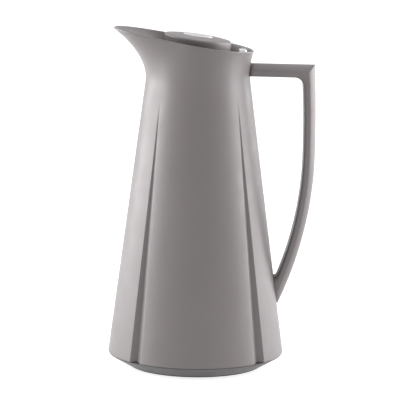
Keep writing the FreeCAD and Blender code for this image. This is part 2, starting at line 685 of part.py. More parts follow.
# ---------------------------------------------------------------- stopper and lid
def make_stopper():
    """Stopper body with its pouring port, nose seal, valve bridge and pivot pin."""
    inside = "stopper_radius - stopper_wall"
    cup = turned("stopper_cup", [
        ("seat_radius", "nose_z"),
        ("nose_radius - 0.8", "nose_z"),
        ("nose_radius", "nose_z + 0.8"),
        ("nose_radius", "nose_top_z"),
        ("stopper_radius", "nose_top_z + 1"),
        ("stopper_radius", "stopper_top_z"),
        (inside, "stopper_top_z"),
        (inside, "stopper_floor_z"),
        ("nose_radius - 2.5", "stopper_floor_z - 2"),
        ("nose_radius - 2.5", "seat_z"),
        ("seat_radius", "seat_z"),
    ])
    bosses = [
        cylinder(
            f"boss_{side}", "boss_radius", "bridge_z - stopper_floor_z + 1",
            ("boss_x", f"{side} * boss_y", "stopper_floor_z - 1"))
        for side in (-1, 1)
    ]
    solid = joined("stopper_solid", [cup, *bosses])
    port = box(
        "pouring_port",
        ("-stopper_radius - 2", "-port_width / 2", "port_z"),
        (8, "port_width", "port_height"),
    )
    slot = box(
        "lever_slot",
        ("stopper_radius - 6", "-lever_rear_width / 2 - 0.6", "bridge_z - 0.7"),
        (8, "lever_rear_width + 1.2", 8.2),
    )
    pilots = [
        cylinder(
            f"boss_pilot_{side}", "bridge_screw_radius", 9,
            ("boss_x", f"{side} * boss_y", "bridge_z - 8"))
        for side in (-1, 1)
    ]
    node("stopper_body", cut("stopper", solid, port, slot, *pilots))

    node("stopper_seal", turned("seal_of_nose", [
        ("nose_radius", "seal_foot_z"),
        ("nose_radius + seal_skin", "seal_foot_z"),
        ("nose_radius + seal_rib", "seal_foot_z + seal_pitch / 2"),
        ("nose_radius + seal_skin", "seal_foot_z + seal_pitch"),
        ("nose_radius + seal_rib", "seal_foot_z + 3 * seal_pitch / 2"),
        ("nose_radius + seal_skin", "seal_foot_z + 2 * seal_pitch"),
        ("nose_radius", "seal_foot_z + 2 * seal_pitch"),
    ]))

    disc = cylinder("bridge_disc", f"{inside} - 0.2", "bridge_thickness", (0, 0, "bridge_z"))
    ears = [
        cut(
            f"ear_{side}",
            box(
                f"ear_block_{side}",
                ("pivot_x - ear_length / 2", low, "bridge_z + 1"),
                ("ear_length", "ear_thickness", "pivot_z - bridge_z + 2"),
            ),
            cylinder(
                f"ear_hole_{side}", "pin_radius", 40, ("pivot_x", 20, "pivot_z"),
                ((1, 0, 0), 90)),
        )
        for side, low in ((-1, "-ear_inner - ear_thickness"), (1, "ear_inner"))
    ]
    plate_and_ears = joined("bridge_solid", [disc, *ears])
    stem_hole = cylinder("stem_hole", "stem_radius + running_gap", 10, (0, 0, "bridge_z - 4"))
    relief = box("lever_relief", ("pivot_x + 0.5", -5.4, "bridge_z - 1"), (14, 10.8, 5))
    screw_holes = [
        cylinder(
            f"bridge_hole_{side}", "bridge_screw_radius + 0.4", 8,
            ("boss_x", f"{side} * boss_y", "bridge_z - 2"))
        for side in (-1, 1)
    ]
    node("valve_bridge", cut("bridge", plate_and_ears, stem_hole, relief, *screw_holes))

    screws = []
    for side in (-1, 1):
        place = ("boss_x", f"{side} * boss_y")
        shank = cylinder(
            f"bridge_shank_{side}", "bridge_screw_radius", 9, (*place, "bridge_z - 7"))
        head = cylinder(
            f"bridge_head_{side}", "bridge_head_radius", 1.6,
            (*place, "bridge_z + bridge_thickness"))
        screws.append(joined(f"bridge_screw_{side}", [shank, head]))
    node("bridge_screws", joined("bridge_screw_pair", screws))

    pin_half = "(ear_inner + ear_thickness)"
    pin = cylinder(
        "pin", "pin_radius", f"2 * {pin_half}", ("pivot_x", pin_half, "pivot_z"), ((1, 0, 0), 90))
    node("pivot_pin", pin)

    node("valve_spring", make_spring())


def make_spring():
    """Spring between the valve plug and the bridge, its turns drawn as a stack of rings."""
    end_gap = 0.2
    first = f"plug_top_z + spring_wire + {end_gap}"
    pitch = f"(bridge_z - plug_top_z - 2 * (spring_wire + {end_gap})) / (spring_turns - 1)"
    turns = []
    for number in range(round(value("spring_turns"))):
        turn = doc.addObject("Part::Torus", f"spring_turn_{number}")
        bind(turn, Radius1="spring_radius", Radius2="spring_wire")
        turns.append(placed(turn, (0, 0, f"{first} + {number} * {pitch}")))
    return joined("spring", turns)


def on_lid_axis(depth):
    """The place on the lid's tilted axis, this deep below the top of its dome."""
    return (
        f"-({depth}) * sin(lid_tilt)",
        0,
        f"lid_centre_z - ({depth}) * cos(lid_tilt)",
    )


SEAM_DOWN = ((0, 1, 0), 90)


def lid_dome(name, inset):
    """The big ball whose top is the lid's shallow, tilted dome."""
    ball = doc.addObject("Part::Sphere", name)
    bind(ball, Radius=f"lid_dome_radius - {inset}")
    return placed(ball, on_lid_axis("lid_dome_radius"), SEAM_DOWN)


def make_lid():
    """Lid: a flaring cap with a tilted domed top, a gasket below and a polished disc on top."""
    foot_z = "stopper_top_z + 0.6"
    tilt = ((0, 1, 0), value("lid_tilt"))
    flare = turned("lid_flare", [
        (0, foot_z),
        ("lid_foot_radius", foot_z),
        ("lid_radius", "lid_flare_z"),
        (0, "lid_flare_z"),
    ])
    blank = common("lid_blank", flare, lid_dome("lid_top", "0"))
    top_edge_z = value("lid_centre_z") - 8

    def on_top_edge(edge):
        return edge.BoundBox.ZMax > top_edge_z and edge.BoundBox.XLength > 30

    softened = rounded("lid_softened", blank, "lid_edge", on_top_edge)
    room = common(
        "lid_room",
        turned("lid_hollow", [
            (0, f"{foot_z} - 1"),
            ("lid_foot_radius - 4.5", f"{foot_z} - 1"),
            ("lid_radius - lid_wall - 0.5", "lid_flare_z"),
            (0, "lid_flare_z"),
        ]),
        lid_dome("lid_inside", "lid_wall + 0.8"),
    )
    spigot = turned("lid_spigot", [
        ("spigot_radius", "spigot_foot_z"),
        ("stopper_radius - stopper_wall - 0.2", "spigot_foot_z"),
        ("stopper_radius - stopper_wall - 0.2", f"{foot_z} + 2"),
        ("spigot_radius", f"{foot_z} + 2"),
    ])
    gap = box(
        "spigot_gap",
        (0, "-lever_front_width / 2 - 4", "spigot_foot_z - 5"),
        (30, "lever_front_width + 8", 9),
    )
    recess = cylinder("badge_recess", "badge_radius + 0.15", 6, on_lid_axis("badge_depth"), tilt)
    shell = cut("lid_shell", softened, room, recess)
    node("lid_cap", joined("lid", [shell, cut("spigot", spigot, gap)]))

    blank_disc = cylinder("badge_blank", "badge_radius", "badge_depth + 0.3",
                          on_lid_axis("badge_depth"), tilt)
    dish = doc.addObject("Part::Sphere", "badge_dish")
    bind(dish, Radius="badge_dish")
    placed(dish, on_lid_axis("badge_sink - badge_dish"), ((0, 1, 0), -90))
    node("lid_badge", cut("badge", blank_disc, dish))

    node("lid_gasket", turned("gasket_of_lid", [
        ("stopper_radius - 1.9", "stopper_top_z"),
        ("stopper_radius", "stopper_top_z"),
        ("stopper_radius", foot_z),
        ("stopper_radius - 1.9", foot_z),
    ]))


# ---------------------------------------------------------------- lever and valve
def make_lever():
    """Pouring lever: a fork under the stem's head, a pivot boss and a thumb button."""
    top = "pivot_z + lever_thickness / 2"
    under = "pivot_z - lever_thickness / 2"
    fork = box(
        "lever_fork",
        (0, "-lever_front_width / 2", under),
        ("pivot_x + 4", "lever_front_width", "lever_thickness / 2 + 0.6"),
    )
    knuckle = cylinder(
        "lever_knuckle", "lever_thickness / 2", "lever_front_width",
        (0, "lever_front_width / 2", "pivot_z"), ((1, 0, 0), 90))
    boss = cylinder(
        "lever_boss", "boss_of_lever", "lever_front_width",
        ("pivot_x", "lever_front_width / 2", "pivot_z"), ((1, 0, 0), 90))
    tail = box(
        "lever_tail",
        ("pivot_x", "-lever_rear_width / 2", under),
        ("lever_reach - pivot_x", "lever_rear_width", "lever_thickness"),
    )
    solid = joined("lever_solid", [fork, knuckle, boss, tail])
    pin_hole = cylinder(
        "lever_pin_hole", "pin_radius + running_gap", 40,
        ("pivot_x", 20, "pivot_z"), ((1, 0, 0), 90))
    stem_gap = box(
        "stem_gap",
        (-6, "-stem_radius - 0.9", "pivot_z - 5"),
        (12, "2 * stem_radius + 1.8", 10),
    )
    node("lever_arm", cut("lever", solid, pin_hole, stem_gap))

    block = box(
        "button_block",
        ("lever_reach - button_length", "-lever_rear_width / 2", top),
        ("button_length", "lever_rear_width", f"button_top_z - ({top})"),
    )

    def on_button_top(edge):
        return edge.BoundBox.ZMin > value("button_top_z") - 0.01

    node("thumb_button", rounded("button", block, "button_round", on_button_top))


def make_valve():
    """Valve: plug with a silicone disc, a headed stem and the nut that holds it."""
    node("valve_seal", turned("seal_of_valve", [
        (0, "seat_z + 0.3"),
        ("plug_radius + 0.5", "seat_z + 0.3"),
        ("plug_radius + 0.5", "plug_z"),
        (0, "plug_z"),
    ]))
    node("valve_plug", turned("plug", [
        (0, "plug_z"),
        ("plug_radius", "plug_z"),
        ("plug_radius", "plug_top_z - 1"),
        ("plug_radius - 1", "plug_top_z"),
        (0, "plug_top_z"),
    ]))
    head_z = "pivot_z + lever_thickness / 2 + 0.3"
    node("valve_stem", turned("stem", [
        (0, "plug_top_z"),
        ("stem_radius", "plug_top_z"),
        ("stem_radius", head_z),
        ("stem_head_radius", head_z),
        ("stem_head_radius", f"{head_z} + 1.6"),
        ("stem_head_radius - 0.6", f"{head_z} + 2.2"),
        (0, f"{head_z} + 2.2"),
    ]))
    node("stem_nut", turned("nut", [
        ("stem_radius", "plug_top_z"),
        ("stem_radius + 2", "plug_top_z"),
        ("stem_radius + 2", "plug_top_z + 2"),
        ("stem_radius", "plug_top_z + 2"),
    ]))


# ---------------------------------------------------------------- build, check and write
def check_and_write():
    """Refuse a failed object or a bad shape, then write each piece to its own file."""
    doc.recompute()
    failed = [item.Name for item in doc.Objects if {"Invalid", "Error"} & set(item.State)]
    if failed:
        raise RuntimeError("failed objects: " + ", ".join(failed))
    for name, item in NODES.items():
        if item.Shape.isNull() or not item.Shape.isValid() or not item.Shape.Solids:
            raise RuntimeError("bad shape: " + name)
    os.makedirs("parts", exist_ok=True)
    for name, item in NODES.items():
        item.Shape.exportStep(f"parts/{name}.step")
        size = item.Shape.BoundBox
        print(f"{name:20s} {item.Shape.Volume / 1000:8.2f} cm3  z {size.ZMin:7.2f} {size.ZMax:7.2f}")
    print(len(NODES), "pieces")


make_body_shell()
make_handle()
make_handle_fasteners()
make_vacuum_bottle()
make_base()
make_neck()
make_stopper()
make_lid()
make_lever()
make_valve()
check_and_write()
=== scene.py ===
"""Looks of the vacuum jug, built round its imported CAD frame.

+Z up, handle at +X, spout at -X. Sizes of the jug are in millimetres and follow the CAD, some
read from the frame's boxes; only the notches lean open further than the CAD's. Lights and camera
are in metres.
"""

import json
import math

import bmesh
import bpy
import numpy as np
from mathutils import Matrix, Vector


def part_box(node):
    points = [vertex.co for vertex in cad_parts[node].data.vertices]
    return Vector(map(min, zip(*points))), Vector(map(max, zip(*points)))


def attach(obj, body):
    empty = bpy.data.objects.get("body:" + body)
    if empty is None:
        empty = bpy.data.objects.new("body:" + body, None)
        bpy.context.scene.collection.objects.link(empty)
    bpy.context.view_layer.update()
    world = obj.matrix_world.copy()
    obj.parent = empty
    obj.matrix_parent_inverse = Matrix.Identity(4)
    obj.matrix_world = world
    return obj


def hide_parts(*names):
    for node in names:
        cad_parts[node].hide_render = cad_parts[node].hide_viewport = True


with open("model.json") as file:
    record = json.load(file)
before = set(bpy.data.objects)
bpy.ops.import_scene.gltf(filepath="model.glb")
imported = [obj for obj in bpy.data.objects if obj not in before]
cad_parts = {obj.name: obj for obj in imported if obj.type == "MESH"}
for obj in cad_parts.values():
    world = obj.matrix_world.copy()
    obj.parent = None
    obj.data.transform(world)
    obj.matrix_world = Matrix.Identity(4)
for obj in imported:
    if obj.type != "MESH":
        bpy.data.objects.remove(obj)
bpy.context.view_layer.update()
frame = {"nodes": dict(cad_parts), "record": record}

MM = 0.001


def box_mm(node):
    """Lowest and highest corner of a CAD node, in millimetres."""
    low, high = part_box(node)
    return np.array(low) / MM, np.array(high) / MM


# ---------------------------------------------------------------- sizes
SHELL_LOW, SHELL_HIGH = box_mm("body_shell")
BASE_Z = SHELL_LOW[2]
BASE_RADIUS = SHELL_HIGH[0]
WAIST_Z = 248.0
WAIST_RADIUS = 44.5
WALL = 2.2
LIP_WALL = 1.7
NOTCH_FOOT_RADIUS = 69.9
NOTCH_END_Z = 235.0
NOTCH_LEAN = 0.244
NOTCH_ROOT_SHIFT = 0.21
SPOUT_REACH = 71.8
SPOUT_Z = 291.0
SPOUT_SPREAD = 1.3
HEEL_RADIUS = 47.4
HEEL_Z = 272.0
RIM_SAG = 0.3
CONE_FALL = (BASE_RADIUS - WAIST_RADIUS) / (WAIST_Z - BASE_Z)
CORNER_ROUNDING = 0.35
ROOT_ROUNDING = 0.15
WAIST_ROUNDING = 0.5
FOOT_ROUNDING = 0.5
LEAST_NOTCH = 0.25
NEVER_ZERO = 1e-3
NECK_REACH = 6.0
SLOPE_STEP = 0.5
LIP_FLATNESS = 0.55


# ---------------------------------------------------------------- mesh helpers
def smooth_min(first, second, width):
    """The smaller of two values, rounded over where they cross."""
    overlap = np.maximum(width - np.abs(first - second), 0) / width
    return np.minimum(first, second) - overlap * overlap * width / 4


def smooth_max(first, second, width):
    """The larger of two values, rounded over where they cross."""
    return -smooth_min(-first, -second, width)


def make_piece(name, points, faces, material, body, stands_for=()):
    """A smooth-shaded mesh piece in millimetres, riding on a CAD body."""
    mesh = bpy.data.meshes.new(name)
    mesh.from_pydata((np.asarray(points) * MM).tolist(), [], [tuple(map(int, f)) for f in faces])
    mesh.validate()
    mesh.materials.append(material)
    mesh.shade_smooth()
    piece = bpy.data.objects.new(name, mesh)
    bpy.context.scene.collection.objects.link(piece)
    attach(piece, body)
    if stands_for:
        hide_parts(*stands_for)
    return piece


def face_outwards(piece):
    """Point every face outwards on a closed piece."""
    bpy.context.view_layer.update()
    cage = bmesh.new()
    cage.from_mesh(piece.data)
    bmesh.ops.recalc_face_normals(cage, faces=cage.faces)
    cage.to_mesh(piece.data)
    cage.free()
    return piece


def ring_faces(rings, around):
    """Quads between successive closed rings of the same number of points."""
    faces = []
    for ring in range(rings - 1):
        for step in range(around):
            following = (step + 1) % around
            low, high = ring * around, (ring + 1) * around
            faces.append((low + step, low + following, high + following, high + step))
    return faces


def capped_faces(rings, around):
    """Quads between successive rings, with the first and the last ring closed over."""
    faces = ring_faces(rings, around)
    faces.append(tuple(range(around))[::-1])
    faces.append(tuple(range((rings - 1) * around, rings * around)))
    return faces


def closed_loop_faces(rings, around):
    """Quads between successive rings, and from the last ring back to the first."""
    faces = ring_faces(rings, around)
    last = (rings - 1) * around
    for step in range(around):
        following = (step + 1) % around
        faces.append((last + step, last + following, following, step))
    return faces


def rounded_corner(start, corner, end, share):
    """A point of the curve from start to end that a corner pulls towards itself."""
    return (1 - share) ** 2 * start + 2 * share * (1 - share) * corner + share ** 2 * end


def soft_profile(corners, rounding, steps=5):
    """A closed (radius, height) outline with each corner rounded by a small curve."""
    corners = [np.array(corner, float) for corner in corners]
    count = len(corners)
    outline = []
    for index, corner in enumerate(corners):
        before = corners[index - 1] - corner
        after = corners[(index + 1) % count] - corner
        reach = min(rounding, 0.45 * np.linalg.norm(before), 0.45 * np.linalg.norm(after))
        start = corner + before / np.linalg.norm(before) * reach
        end = corner + after / np.linalg.norm(after) * reach
        for step in range(steps + 1):
            outline.append(rounded_corner(start, corner, end, step / steps))
    return outline


def lathe(name, corners, rounding, material, body, around=192, stands_for=()):
    """A ring turned about the jug's axis from a closed outline that stays off the axis."""
    outline = soft_profile(corners, rounding)
    angles = np.linspace(0, 2 * math.pi, around, endpoint=False)
    points = [
        (radius * math.cos(angle), radius * math.sin(angle), height)
        for radius, height in outline
        for angle in angles
    ]
    faces = closed_loop_faces(len(outline), around)
    return face_outwards(make_piece(name, points, faces, material, body, stands_for))


# ---------------------------------------------------------------- materials
def new_material(name):
    """An empty node material with a Principled shader; returns material, nodes, links, shader."""
    material = bpy.data.materials.new(name)
    material.use_nodes = True
    nodes = material.node_tree.nodes
    return material, nodes, material.node_tree.links, nodes["Principled BSDF"]


def noise(nodes, links, coordinates, scale, detail=2.0, roughness=0.5):
    """A noise texture on the object's own coordinates."""
    texture = nodes.new("ShaderNodeTexNoise")
    texture.inputs["Scale"].default_value = scale
    texture.inputs["Detail"].default_value = detail
    texture.inputs["Roughness"].default_value = roughness
    links.new(coordinates, texture.inputs["Vector"])
    return texture.outputs["Fac"]


def ramp(nodes, links, factor, low, high, start=0.35, end=0.65):
    """A colour ramp between two colours or grey levels."""
    band = nodes.new("ShaderNodeValToRGB")
    band.color_ramp.elements[0].position = start
    band.color_ramp.elements[1].position = end
    band.color_ramp.elements[0].color = (*low, 1)
    band.color_ramp.elements[1].color = (*high, 1)
    links.new(factor, band.inputs["Fac"])
    return band.outputs["Color"]


def add_bump(nodes, links, shader, height, strength, distance):
    """A bump from a height signal."""
    bump = nodes.new("ShaderNodeBump")
    bump.inputs["Strength"].default_value = strength
    bump.inputs["Distance"].default_value = distance
    links.new(height, bump.inputs["Height"])
    links.new(bump.outputs["Normal"], shader.inputs["Normal"])


def moulded_plastic(name, colour, rough, grain=2600.0, grain_depth=0.00002, spread=0.03):
    """Satin moulded plastic: fine spark-eroded grain, faint mottling and uneven gloss."""
    material, nodes, links, shader = new_material(name)
    place = nodes.new("ShaderNodeTexCoord").outputs["Object"]
    tone = noise(nodes, links, place, 14.0, 3.0)
    darker = tuple(c * (1 - spread) for c in colour)
    lighter = tuple(min(1, c * (1 + spread)) for c in colour)
    links.new(ramp(nodes, links, tone, darker, lighter), shader.inputs["Base Color"])
    gloss = noise(nodes, links, place, 60.0, 4.0)
    low, high = rough - 0.03, rough + 0.04
    links.new(ramp(nodes, links, gloss, (low,) * 3, (high,) * 3), shader.inputs["Roughness"])
    fine = noise(nodes, links, place, grain, 2.0, 0.6)
    add_bump(nodes, links, shader, fine, 0.35, grain_depth)
    shader.inputs["Specular IOR Level"].default_value = 0.5
    return material


def polished_metal(name, colour, rough, brushed):
    """Bright metal with faint handling marks; brushed metal has a finer, stronger grain."""
    material, nodes, links, shader = new_material(name)
    shader.inputs["Metallic"].default_value = 1.0
    place = nodes.new("ShaderNodeTexCoord").outputs["Object"]
    marks = noise(nodes, links, place, 220.0, 5.0, 0.7)
    low, high = rough, rough + 0.08
    links.new(ramp(nodes, links, marks, (low,) * 3, (high,) * 3), shader.inputs["Roughness"])
    tint = noise(nodes, links, place, 30.0, 2.0)
    darker = tuple(c * 0.96 for c in colour)
    links.new(ramp(nodes, links, tint, darker, colour), shader.inputs["Base Color"])
    grain = noise(nodes, links, place, 5000.0 if brushed else 900.0, 2.0)
    add_bump(nodes, links, shader, grain, 0.15 if brushed else 0.04, 0.00001)
    return material


def elastomer(name, colour, rough, clear=0.0):
    """Matt rubber or silicone with a dusty bloom."""
    material, nodes, links, shader = new_material(name)
    place = nodes.new("ShaderNodeTexCoord").outputs["Object"]
    bloom = noise(nodes, links, place, 90.0, 4.0)
    lighter = tuple(min(1, c * 1.15 + 0.01) for c in colour)
    links.new(ramp(nodes, links, bloom, colour, lighter), shader.inputs["Base Color"])
    shader.inputs["Roughness"].default_value = rough
    shader.inputs["Transmission Weight"].default_value = clear
    fine = noise(nodes, links, place, 1800.0)
    add_bump(nodes, links, shader, fine, 0.3, 0.00002)
    return material


def silvered_glass(name):
    """Glass bottle wall, silvered on its hidden side: bright, slightly wavy."""
    material, nodes, links, shader = new_material(name)
    shader.inputs["Metallic"].default_value = 1.0
    shader.inputs["Coat Weight"].default_value = 1.0
    shader.inputs["Coat Roughness"].default_value = 0.02
    place = nodes.new("ShaderNodeTexCoord").outputs["Object"]
    silver = noise(nodes, links, place, 25.0, 3.0)
    links.new(
        ramp(nodes, links, silver, (0.80, 0.81, 0.83), (0.90, 0.90, 0.91)),
        shader.inputs["Base Color"])
    haze = noise(nodes, links, place, 70.0, 3.0)
    links.new(ramp(nodes, links, haze, (0.03,) * 3, (0.10,) * 3), shader.inputs["Roughness"])
    waves = noise(nodes, links, place, 18.0, 2.0)
    add_bump(nodes, links, shader, waves, 0.2, 0.0006)
    return material


CASING_COLOUR = (0.1063, 0.0937, 0.0950)
casing_plastic = moulded_plastic("casing_plastic", CASING_COLOUR, 0.42)
# Base plastic much darker than the casing plastic as painted shade: the tucked base faces the
# glowing floor, which would light it too brightly from below.
base_plastic = moulded_plastic("base_plastic", (0.040, 0.0352, 0.0358), 0.45)
inner_plastic = moulded_plastic("inner_plastic", (0.12, 0.112, 0.113), 0.38)
black_rubber = elastomer("black_rubber", (0.018, 0.018, 0.018), 0.75)
clear_silicone = elastomer("clear_silicone", (0.62, 0.62, 0.60), 0.4, clear=0.25)
plain_steel = polished_metal("plain_steel", (0.62, 0.61, 0.60), 0.28, brushed=True)
polished_steel = polished_metal("polished_steel", (0.60, 0.60, 0.61), 0.12, brushed=False)
silver_glass = silvered_glass("silver_glass")


# ---------------------------------------------------------------- casing
def cone_radius(height):
    """The casing's straight cone."""
    return BASE_RADIUS - CONE_FALL * (height - BASE_Z)


def mouth_radius(angle, height):
    """The mouth above the waist: round, flaring forwards at the spout and a little at the heel."""
    climb = np.maximum(height - WAIST_Z, 0)
    spout = (SPOUT_REACH - WAIST_RADIUS) * (climb / (SPOUT_Z - WAIST_Z)) ** 2
    heel = (HEEL_RADIUS - WAIST_RADIUS) * (climb / (HEEL_Z - WAIST_Z)) ** 3
    from_spout = np.minimum(np.abs(np.pi - np.mod(angle, 2 * np.pi)) * SPOUT_SPREAD, np.pi / 2)
    to_heel = np.maximum(np.cos(angle), 0)
    return WAIST_RADIUS + spout * np.cos(from_spout) ** 2 + heel * to_heel ** 2


def notch_floor(height):
    """Distance of the notch's deepest line from the axis, were its faces square."""
    end_radius = cone_radius(NOTCH_END_Z)
    slope = (NOTCH_FOOT_RADIUS - end_radius) / (NOTCH_END_Z - BASE_Z)
    return NOTCH_FOOT_RADIUS - slope * (height - BASE_Z)


def notch_depth(height):
    """Depth of the notch at its deepest, never quite nothing."""
    return np.maximum(cone_radius(height) - notch_floor(height), LEAST_NOTCH)


def casing_radius(angle, height, inset):
    """Outer surface of the casing, or a surface inset behind it, notches included.

    Of a notch's two faces, the one beside the front or rear panel leans open. The other faces
    forwards, or backwards in the rear notches.
    """
    plain = smooth_max(cone_radius(height), mouth_radius(angle, height), WAIST_ROUNDING) - inset
    beyond_end = np.maximum(height - NOTCH_END_Z, 0)
    reach = notch_floor(height) / math.sqrt(2) - inset + beyond_end
    depth = notch_depth(height)
    width, length = np.abs(np.cos(angle)), np.abs(np.sin(angle))
    shift = NOTCH_ROOT_SHIFT * depth
    leaning = (reach * (1 + NOTCH_LEAN) + shift) / (width + NOTCH_LEAN * length)
    forwards = reach / np.maximum(length, NEVER_ZERO)
    faces = smooth_max(leaning, forwards, ROOT_ROUNDING)
    return smooth_min(plain, faces, np.clip(0.4 * depth, 0.1, CORNER_ROUNDING))


def rim_height(x):
    """The rim seen from the side: sloping from the spout down to the heel, sagging a little."""
    share = (x + SPOUT_REACH) / (SPOUT_REACH + HEEL_RADIUS)
    straight = SPOUT_Z + (HEEL_Z - SPOUT_Z) * share
    return straight - 4 * RIM_SAG * share * (1 - share)


def casing_columns(height):
    """Angles round the casing at one height, crowded where the notch corners are."""
    radius = cone_radius(height)
    depth = notch_depth(height)
    reach = (radius - depth) / math.sqrt(2)
    shift = NOTCH_ROOT_SHIFT * depth
    side = math.degrees(math.asin(reach / radius))
    root = math.degrees(math.atan2(reach, reach + shift))
    lean = math.hypot(1, NOTCH_LEAN)
    front = math.degrees(
        math.atan(NOTCH_LEAN)
        + math.acos((reach * (1 + NOTCH_LEAN) + shift) / (radius * lean)))
    gap = min(math.degrees(0.4 / radius), 0.3 * (root - side))
    places = [
        0, 37, side - gap, side + gap, root - gap / 2, root, root + gap / 2,
        front - gap, front + gap, 54, 90,
    ]
    spans = [14, 3, 6, 3, 2, 2, 3, 6, 3, 14]
    quarter = [0.0]
    for low, high, steps in zip(places, places[1:], spans):
        quarter.extend(np.linspace(low, high, steps + 1)[1:])
    quarter = np.array(quarter)
    return np.radians(np.concatenate([
        quarter[:-1], (180 - quarter[::-1])[:-1], (180 + quarter)[:-1], (360 - quarter[::-1])[:-1],
    ]))


def casing_rows():
    """Heights of the mesh rows up to just above the waist, close together at the foot and waist."""
    foot = BASE_Z + np.array([0, 0.25, 0.6, 1.1, 2, 4])
    cone = np.linspace(BASE_Z + 8, WAIST_Z - 8, 44)
    neck = np.linspace(WAIST_Z - NECK_REACH, WAIST_Z + NECK_REACH, 9)
    return np.concatenate([foot, cone, neck])


def make_casing():
    """The casing as one closed wall: outside, rounded lip, inside and foot."""
    columns = casing_columns(BASE_Z)
    around = len(columns)
    rows = []

    def add_row(angle, radius, height):
        rows.append(np.stack([radius * np.cos(angle), radius * np.sin(angle), height], axis=-1))

    for height in casing_rows():
        angle = casing_columns(height)
        tuck = max(0.0, FOOT_ROUNDING - (height - BASE_Z)) ** 2 / FOOT_ROUNDING
        add_row(angle, casing_radius(angle, height, 0) - tuck, np.full(around, height))

    angle = casing_columns(WAIST_Z)
    rim = np.full(around, HEEL_Z)
    for _ in range(40):
        rim = rim_height(casing_radius(angle, rim, 0) * np.cos(angle))
    start = WAIST_Z + NECK_REACH
    shares = np.linspace(0, 1, 26)[1:]
    for share in shares:
        height = start + (rim - start) * share
        add_row(angle, casing_radius(angle, height, 0), height)

    edge_radius = casing_radius(angle, rim, 0)
    slope = (edge_radius - casing_radius(angle, rim - SLOPE_STEP, 0)) / SLOPE_STEP
    scale = np.sqrt(1 + slope * slope)
    out_r, out_z = 1 / scale, -slope / scale
    up_r, up_z = slope / scale, 1 / scale
    half = LIP_WALL / 2
    for turn in np.linspace(0, math.pi, 9)[1:-1]:
        outwards, upwards = half * (math.cos(turn) - 1), LIP_FLATNESS * half * math.sin(turn)
        add_row(
            angle,
            edge_radius + out_r * outwards + up_r * upwards,
            rim + out_z * outwards + up_z * upwards)

    for share in shares[::-1]:
        height = start + (rim - start) * share
        radius = casing_radius(angle, height, 0)
        slope = (radius - casing_radius(angle, height - SLOPE_STEP, 0)) / SLOPE_STEP
        scale = np.sqrt(1 + slope * slope)
        wall = LIP_WALL + (WALL - LIP_WALL) * (1 - share)
        add_row(angle, radius - wall / scale, height + wall * slope / scale)
    for height in casing_rows()[::-1]:
        angle = casing_columns(height)
        add_row(angle, casing_radius(angle, height, WALL), np.full(around, height))

    points = np.concatenate(rows)
    faces = closed_loop_faces(len(rows), around)
    casing = make_piece(
        "casing", points, faces, casing_plastic, "jug", stands_for=["body_shell"])
    return face_outwards(casing)


# ---------------------------------------------------------------- handle
STRAP_HALF = 10.0
STRAP_THICK = 11.2
ARM_TOP_Z = 261.8
ARM_UNDER_Z = 251.1
CORNER = (99.9, 260.8)
GRIP_START = (100.9, 172.5)
STRAP_END = (71.0, 54.0)
INNER_TOP = (89.9, 242.6)
INNER_START = (90.7, 181.0)
CROTCH = (69.3, 78.0)
INNER_CORNER = (82.2, 250.3)
OUTER_BEND = (100.5, 244.5)
OUTER_BOW = 1063.0
OUTER_STRAP_BOW = 326.0
INNER_BOW = 790.0
INNER_STRAP_BOW = 291.0
INNER_BEND = 7.8
STRAP_FILLET = 2.7
STRAP_CREASE = 5.6
MITRE_SHARE = 0.79
ROOT_IN_CASING = 0.9


def arc_points(start, end, radius, count):
    """Points along an arc; it bulges to the right of start to end if the radius is positive."""
    start, end = np.array(start, float), np.array(end, float)
    chord = end - start
    length = np.linalg.norm(chord)
    left = np.array([-chord[1], chord[0]]) / length * math.copysign(1, radius)
    centre = (start + end) / 2 + left * math.sqrt(radius * radius - length * length / 4)
    first = math.atan2(*(start - centre)[::-1])
    last = math.atan2(*(end - centre)[::-1])
    sweep = (last - first + math.pi) % (2 * math.pi) - math.pi
    turns = first + sweep * np.linspace(0, 1, count)
    return centre + abs(radius) * np.stack([np.cos(turns), np.sin(turns)], axis=-1)


def line_points(start, end, count):
    """Points along a straight line."""
    share = np.linspace(0, 1, count)[:, None]
    return np.array(start, float) * (1 - share) + np.array(end, float) * share


def strap_section():
    """Half of the D section from the inner middle to the outer middle: (across, through)."""
    rise = STRAP_THICK - STRAP_CREASE
    radius = (STRAP_HALF ** 2 + rise ** 2) / (2 * rise)
    points = [(0, 0), (3.5, 0)]
    for turn in np.linspace(0, math.pi / 2, 7):
        points.append((
            STRAP_HALF - STRAP_FILLET + STRAP_FILLET * math.sin(turn),
            STRAP_FILLET - STRAP_FILLET * math.cos(turn)))
    points += [
        (STRAP_HALF, 4.0),
        (STRAP_HALF, STRAP_CREASE - 0.35),
        (STRAP_HALF - 0.06, STRAP_CREASE),
    ]
    widest = math.asin(STRAP_HALF / radius)
    for turn in np.linspace(widest * 0.965, 0, 12):
        points.append((radius * math.sin(turn), STRAP_THICK - radius + radius * math.cos(turn)))
    return points


